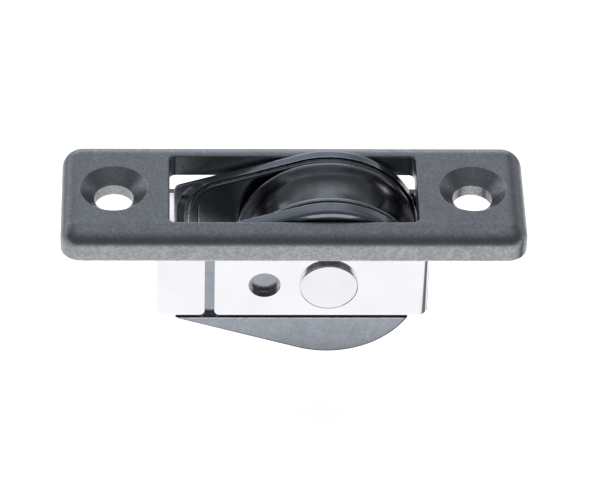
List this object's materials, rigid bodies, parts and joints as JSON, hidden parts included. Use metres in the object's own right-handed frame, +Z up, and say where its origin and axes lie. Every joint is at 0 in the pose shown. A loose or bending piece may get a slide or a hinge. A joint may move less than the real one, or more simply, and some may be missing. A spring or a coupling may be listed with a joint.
{
  "type": "through-deck sheave block",
  "caption": "Flush through-deck sheave block: slotted deck plate over a folded strap that carries two teardrop cheeks and a ball-bearing sheave.",
  "frame": {"origin": "midway between the two screw holes, level with the plate's underside where their bores come out", "axes": "+X along the plate towards the sheave's end, +Y to the rear (the rivet's head is at -Y), +Z up, away from the deck"},
  "size_m": [0.075, 0.0232, 0.03],
  "materials": {
    "anodised_plate": "dark grey hard-anodised casting, fine satin grain",
    "polished_strap": "polished stainless sheet",
    "anodised_cheek": "dark grey hard-anodised die casting, smoother than the plate",
    "turned_sheave": "turned and dark hard-anodised, semi-gloss",
    "anodised_hub": "hard-anodised, turned",
    "plastic_ball": "natural acetal",
    "polished_rivet": "polished stainless"
  },
  "bodies": {
    "frame": {"deck_plate": "anodised_plate", "cheek_strap": "polished_strap", "front_cheek": "anodised_cheek", "rear_cheek": "anodised_cheek", "bearing_hub": "anodised_hub", "axle_rivet": "polished_rivet", "rivet_washer": "polished_rivet"},
    "sheave": {"rope_sheave": "turned_sheave"},
    "front_balls": {"front_ball_row": "plastic_ball"},
    "rear_balls": {"rear_ball_row": "plastic_ball"}
  },
  "joints": [
    {"name": "sheave_spin", "type": "hinge", "parent": "frame", "child": "sheave", "pos_m": [0.0058, 0, -0.009], "axis": [0, 1, 0], "continuous": true},
    {"name": "front_balls_orbit", "type": "hinge", "parent": "frame", "child": "front_balls", "pos_m": [0.0058, 0, -0.009], "axis": [0, 1, 0], "continuous": true},
    {"name": "rear_balls_orbit", "type": "hinge", "parent": "frame", "child": "rear_balls", "pos_m": [0.0058, 0, -0.009], "axis": [0, 1, 0], "continuous": true}
  ],
  "couplings": [
    {"joint": "front_balls_orbit", "follows": "sheave_spin", "ratio": 0.6323},
    {"joint": "rear_balls_orbit", "follows": "sheave_spin", "ratio": 0.6323}
  ]
}
